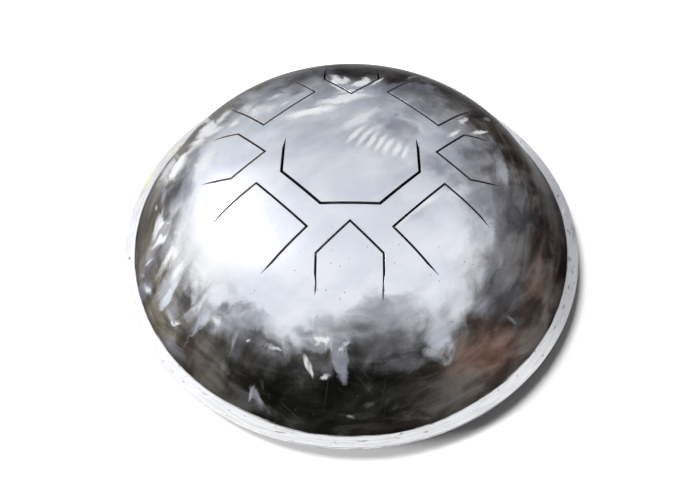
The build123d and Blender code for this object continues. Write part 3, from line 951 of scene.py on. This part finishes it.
def grained(name, light, dark, lines, blotch, rough, depth, metal=1.0):
    """Finish with blotches and fine lines: lines gives the line count per metre along each axis."""
    material, p, place = painted(name)
    cloud = p.noise(place, blotch, 5.0, 0.6, 0.5)
    grain = p.noise(p.mapped(place, "POINT", lines), 1.0, 4.0, 0.6)
    color = p.mix(p.fade(cloud, 0.35, 0.70), tuple(light), tuple(dark))
    color = p.mix(p.fade(grain, 0.45, 0.80, 0.0, 0.45), color, tuple(dark))
    shine = p.math("MULTIPLY_ADD", cloud, 0.20, p.math("MULTIPLY_ADD", grain, 0.14, rough - 0.17))
    finished(p, Base_Color=color, Metallic=metal, Roughness=shine, Normal=p.bump(grain, 0.35, depth))
    return material


SAW_LINES = (1400, 1400, 90)  # per metre along each axis


def sawn_edge(finish, radius):
    """Walls of the saw cuts, with the saw's lines, lighter and browner to the left where the light reaches in."""
    material, p, place = painted("sawn_edge")
    grain = p.noise(p.mapped(place, "POINT", SAW_LINES), 1.0, 4.0, 0.6)
    left = p.toward(place, (-1 / radius, 0, 0), 0.08, 0.36)
    color = p.mix(left, tuple(finish.pewter), tuple(finish.sawn))
    color = p.mix(p.fade(grain, 0.45, 0.80, 0.0, 0.5), color, tuple(finish.lead))
    rough = p.math("MULTIPLY_ADD", grain, 0.2, 0.5)
    finished(p, Base_Color=color, Metallic=1.0, Roughness=rough, Normal=p.bump(grain, 0.35, 0.00008))
    return material


def steel_slots(context):
    """The three finishes of the sheet, made once."""
    finish, radius = context.scene.drum_finish, context.scene.drum_sizes.rim_radius
    skin = bpy.data.materials.get("polished_sheet") or dome_steel(finish, radius)
    sawn = bpy.data.materials.get("sawn_edge") or sawn_edge(finish, radius)
    inside = bpy.data.materials.get("sheet_inside") or grained(
        "sheet_inside", finish.rolled, finish.lead, (40, 900, 900), 26, 0.50, 0.00008)
    return skin, sawn, inside


def dress_sheet(context, piece, node):
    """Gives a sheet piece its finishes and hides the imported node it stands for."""
    for material in steel_slots(context):
        piece.data.materials.append(material)
    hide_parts(node)


def add_tongue(context, name):
    """Builds a tongue that stays with the sheet at its root."""
    sizes = context.scene.drum_sizes
    piece = make_tongue(sizes, name)
    dress_sheet(context, piece, f"tongue_{name}")
    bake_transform(piece)


def dress_node(name, material):
    """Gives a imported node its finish."""
    node = frame["nodes"][name]
    node.data.materials.clear()
    node.data.materials.append(material)


class DRUM_OT_shell(bpy.types.Operator):
    """Build the domed sheet with its rim and saw cuts"""

    bl_idname = "drum.shell"
    bl_label = "Domed sheet"

    def execute(self, context):
        piece = make_shell(context.scene.drum_sizes)
        dress_sheet(context, piece, "top_shell")
        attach(piece, "drum")
        return {"FINISHED"}


class DRUM_OT_center_tongue(bpy.types.Operator):
    """Build the large tongue at the top"""

    bl_idname = "drum.center_tongue"
    bl_label = "Centre tongue"

    def execute(self, context):
        add_tongue(context, "center")
        return {"FINISHED"}


class DRUM_OT_house_tongues(bpy.types.Operator):
    """Build the four house-shaped tongues"""

    bl_idname = "drum.house_tongues"
    bl_label = "House tongues"

    def execute(self, context):
        for name in HOUSES:
            add_tongue(context, name)
        return {"FINISHED"}


class DRUM_OT_square_tongues(bpy.types.Operator):
    """Build the four square tongues"""

    bl_idname = "drum.square_tongues"
    bl_label = "Square tongues"

    def execute(self, context):
        for name in SQUARES:
            add_tongue(context, name)
        return {"FINISHED"}


class DRUM_OT_weld(bpy.types.Operator):
    """Finish the weld run between the two rims"""

    bl_idname = "drum.weld"
    bl_label = "Rim weld"

    def execute(self, context):
        finish = context.scene.drum_finish
        dress_node("rim_weld", grained("ground_weld", finish.ground, finish.pewter, (420, 420, 300), 90, 0.40, 0.0002))
        return {"FINISHED"}


class DRUM_OT_pan(bpy.types.Operator):
    """Finish the base pan"""

    bl_idname = "drum.pan"
    bl_label = "Base pan"

    def execute(self, context):
        finish = context.scene.drum_finish
        dress_node("base_pan", grained("rolled_sheet", finish.rolled, finish.lead, (25, 1100, 1100), 22, 0.42, 0.00008))
        return {"FINISHED"}


class DRUM_OT_feet(bpy.types.Operator):
    """Finish the four rubber feet"""

    bl_idname = "drum.feet"
    bl_label = "Rubber feet"

    def execute(self, context):
        finish = context.scene.drum_finish
        rubber = grained("black_rubber", finish.rubber, finish.charcoal, (1500, 1500, 1500), 120, 0.72, 0.0002,
                         metal=0.0)
        for name in SQUARES:
            dress_node(f"foot_{name}", rubber)
        return {"FINISHED"}


class DRUM_OT_fasteners(bpy.types.Operator):
    """Finish the screws, washers and nuts of the feet"""

    bl_idname = "drum.fasteners"
    bl_label = "Fasteners"

    def execute(self, context):
        finish = context.scene.drum_finish
        zinc = grained("zinc_plate", finish.zinc, finish.pewter, (900, 900, 900), 240, 0.32, 0.00006)
        for name in ("screws", "washers", "nuts"):
            dress_node(f"foot_{name}", zinc)
        return {"FINISHED"}


Lamp = namedtuple("Lamp", "around height distance size mirrored")
KEY_LAMP = Lamp(radians(162), radians(67), 2.3, 0.7, False)
FILL_LAMP = Lamp(radians(197), radians(20), 2.3, 0.5, False)
GLEAM_LAMP = Lamp(radians(160), radians(45), 2.2, 0.62, True)
LAMP_AIM = Vector((0, 0, 0.05))
FLOOR_HALF = 12.0
FLOOR_FADE = (0.5, 1.1)  # distances between which the lit floor turns to plain white
SENSOR = 36.0


def make_floor(stage):
    """Plain pale floor that glows white far from the drum."""
    bm = bmesh.new()
    bmesh.ops.create_grid(bm, x_segments=8, y_segments=8, size=FLOOR_HALF)
    mesh = bpy.data.meshes.new("floor")
    bm.to_mesh(mesh)
    bm.free()
    floor = linked("floor", mesh)
    paper, p, place = painted("floor_paper")
    far = p.fade(p.vector("LENGTH", place), *FLOOR_FADE)
    finished(p, Base_Color=p.mix(far, tuple(stage.floor), (0, 0, 0)), Roughness=0.9, Emission_Color=(1, 1, 1, 1),
             Emission_Strength=far)
    mesh.materials.append(paper)


def make_world(stage):
    """Soft light from all round, plain white where it is seen or mirrored."""
    world = bpy.data.worlds.new("studio")
    bpy.context.scene.world = world
    world.use_nodes = True
    world.node_tree.nodes.clear()
    p = Paint(world.node_tree)
    path = p.add("ShaderNodeLightPath").outputs
    seen = p.math("MAXIMUM", path["Is Camera Ray"], path["Is Glossy Ray"])
    seen = p.math("MAXIMUM", seen, path["Is Transmission Ray"])
    level = p.add("ShaderNodeMapRange", {0: seen, 3: stage.sky}).outputs[0]
    light = p.add("ShaderNodeBackground", {"Color": (1, 1, 1, 1), "Strength": level}).outputs[0]
    p.add("ShaderNodeOutputWorld", {"Surface": light})


def make_lamp(name, lamp, power):
    """Square soft lamp that faces the drum, with or without its mirror image in the metal."""
    level = cos(lamp.height)
    place = LAMP_AIM + lamp.distance * Vector((cos(lamp.around) * level, sin(lamp.around) * level, sin(lamp.height)))
    light = bpy.data.lights.new(name, "AREA")
    light.size = lamp.size
    light.energy = power
    holder = linked(name, light)
    holder.location = place
    holder.rotation_euler = (LAMP_AIM - place).to_track_quat("-Z", "Y").to_euler()
    holder.visible_glossy = lamp.mirrored


def make_camera(stage):
    """Camera at the photograph's viewing angle."""
    data = bpy.data.cameras.new("camera")
    data.lens, data.sensor_width, data.sensor_fit = stage.lens, SENSOR, "HORIZONTAL"
    data.clip_start, data.clip_end = 0.01, 50.0
    camera = linked("camera", data)
    eye, aim = Vector(stage.eye), Vector(stage.aim)
    ahead = (aim - eye).normalized()
    right = ahead.cross(Vector((0, 0, 1))).normalized()
    up = right.cross(ahead)
    c, s = cos(stage.roll), sin(stage.roll)
    right, up = c * right + s * up, c * up - s * right
    turn = Matrix((right, up, -ahead)).transposed()
    camera.matrix_world = Matrix.Translation(eye) @ turn.to_4x4()
    bpy.context.scene.camera = camera


class DRUM_OT_stage(bpy.types.Operator):
    """Set the floor, the lamps and the camera"""

    bl_idname = "drum.stage"
    bl_label = "Stage"

    def execute(self, context):
        stage = context.scene.drum_stage
        make_floor(stage)
        make_world(stage)
        make_lamp("key_lamp", KEY_LAMP, stage.key)
        make_lamp("fill_lamp", FILL_LAMP, stage.fill)
        make_lamp("gleam_lamp", GLEAM_LAMP, stage.gleam)
        make_camera(stage)
        context.scene.view_settings.view_transform = "Standard"
        return {"FINISHED"}


OPERATORS = (DRUM_OT_shell, DRUM_OT_center_tongue, DRUM_OT_house_tongues, DRUM_OT_square_tongues,
             DRUM_OT_weld, DRUM_OT_pan, DRUM_OT_feet, DRUM_OT_fasteners, DRUM_OT_stage)


class DRUM_PT_panel(bpy.types.Panel):
    """Steps of the drum"""

    bl_idname = "DRUM_PT_panel"
    bl_label = "Steel tongue drum"
    bl_space_type = "VIEW_3D"
    bl_region_type = "UI"
    bl_category = "Drum"

    def draw(self, context):
        for operator in OPERATORS:
            self.layout.operator(operator.bl_idname)


CLASSES = (DrumSizes, DrumFinish, DrumStage, *OPERATORS, DRUM_PT_panel)


def register():
    for cls in CLASSES:
        bpy.utils.register_class(cls)
    bpy.types.Scene.drum_sizes = PointerProperty(type=DrumSizes)
    bpy.types.Scene.drum_finish = PointerProperty(type=DrumFinish)
    bpy.types.Scene.drum_stage = PointerProperty(type=DrumStage)


def unregister():
    del bpy.types.Scene.drum_stage, bpy.types.Scene.drum_finish, bpy.types.Scene.drum_sizes
    for cls in reversed(CLASSES):
        bpy.utils.unregister_class(cls)


def main():
    register()
    bpy.ops.drum.shell()
    bpy.ops.drum.center_tongue()
    bpy.ops.drum.house_tongues()
    bpy.ops.drum.square_tongues()
    bpy.ops.drum.weld()
    bpy.ops.drum.pan()
    bpy.ops.drum.feet()
    bpy.ops.drum.fasteners()
    bpy.ops.drum.stage()


if __name__ == "__main__":
    main()
